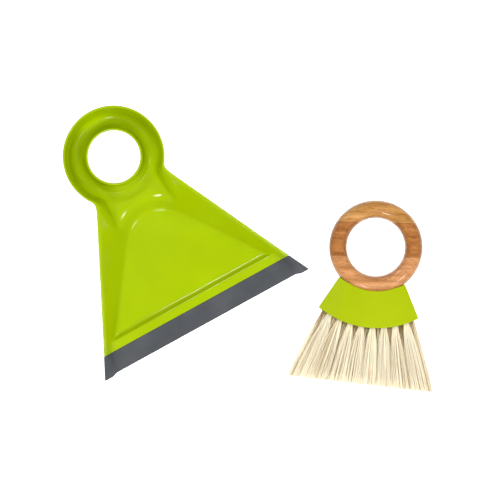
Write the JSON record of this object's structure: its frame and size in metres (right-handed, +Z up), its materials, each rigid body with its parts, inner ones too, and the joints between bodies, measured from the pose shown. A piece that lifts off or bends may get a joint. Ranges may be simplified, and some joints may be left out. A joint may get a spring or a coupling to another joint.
{
  "type": "dustpan and brush set",
  "caption": "Small dustpan with a ring handle and a soft lip, with a fan-shaped hand brush on a wooden ring handle.",
  "frame": {"origin": "on the ground, under the middle of the bounding box of the pan and the brush lying beside it", "axes": "+Z up; the pan's lip points along -Y and its width is along X; the brush lies at the pan's +X side"},
  "size_m": [0.2914, 0.3426, 0.03],
  "materials": {
    "glossy_lime": "polished",
    "soft_grey": "satin",
    "bamboo_tan": "lacquered",
    "bamboo_brown": "lacquered",
    "bamboo_pale": "lacquered",
    "steel": "plain",
    "satin_lime": "satin",
    "bristle": "fibrous"
  },
  "bodies": {
    "pan": {"pan_shell": "glossy_lime", "pan_lip": "soft_grey"},
    "brush": {"stave_top": "bamboo_tan", "stave_upper_left": "bamboo_brown", "stave_upper_right": "bamboo_brown", "stave_lower_left": "bamboo_brown", "stave_lower_right": "bamboo_brown", "stave_bottom": "bamboo_pale", "ring_screws": "steel", "head_shell": "satin_lime", "tuft_block": "satin_lime", "tuft_anchors": "steel"},
    "bristles": {"tuft_front_1": "bristle", "tuft_front_2": "bristle", "tuft_front_3": "bristle", "tuft_front_4": "bristle", "tuft_front_5": "bristle", "tuft_front_6": "bristle", "tuft_front_7": "bristle", "tuft_front_8": "bristle", "tuft_middle_1": "bristle", "tuft_middle_2": "bristle", "tuft_middle_3": "bristle", "tuft_middle_4": "bristle", "tuft_middle_5": "bristle", "tuft_middle_6": "bristle", "tuft_middle_7": "bristle", "tuft_middle_8": "bristle", "tuft_middle_9": "bristle", "tuft_back_1": "bristle", "tuft_back_2": "bristle", "tuft_back_3": "bristle", "tuft_back_4": "bristle", "tuft_back_5": "bristle", "tuft_back_6": "bristle", "tuft_back_7": "bristle", "tuft_back_8": "bristle"}
  },
  "joints": [
    {"name": "brush_lift", "type": "slide", "parent": "pan", "child": "brush", "axis": [0, 0, 1], "range_m": [0, 0.1]},
    {"name": "bristle_flex", "type": "hinge", "parent": "brush", "child": "bristles", "pos_m": [0.07081, -0.09252, 0.01077], "axis": [-0.8151, 0.5793, 0], "range_deg": [0, 30], "stiffness_Nm_per_rad": 0.3, "deforming": ["tuft_front_1", "tuft_front_2", "tuft_front_3", "tuft_front_4", "tuft_front_5", "tuft_front_6", "tuft_front_7", "tuft_front_8", "tuft_middle_1", "tuft_middle_2", "tuft_middle_3", "tuft_middle_4", "tuft_middle_5", "tuft_middle_6", "tuft_middle_7", "tuft_middle_8", "tuft_middle_9", "tuft_back_1", "tuft_back_2", "tuft_back_3", "tuft_back_4", "tuft_back_5", "tuft_back_6", "tuft_back_7", "tuft_back_8"]}
  ]
}
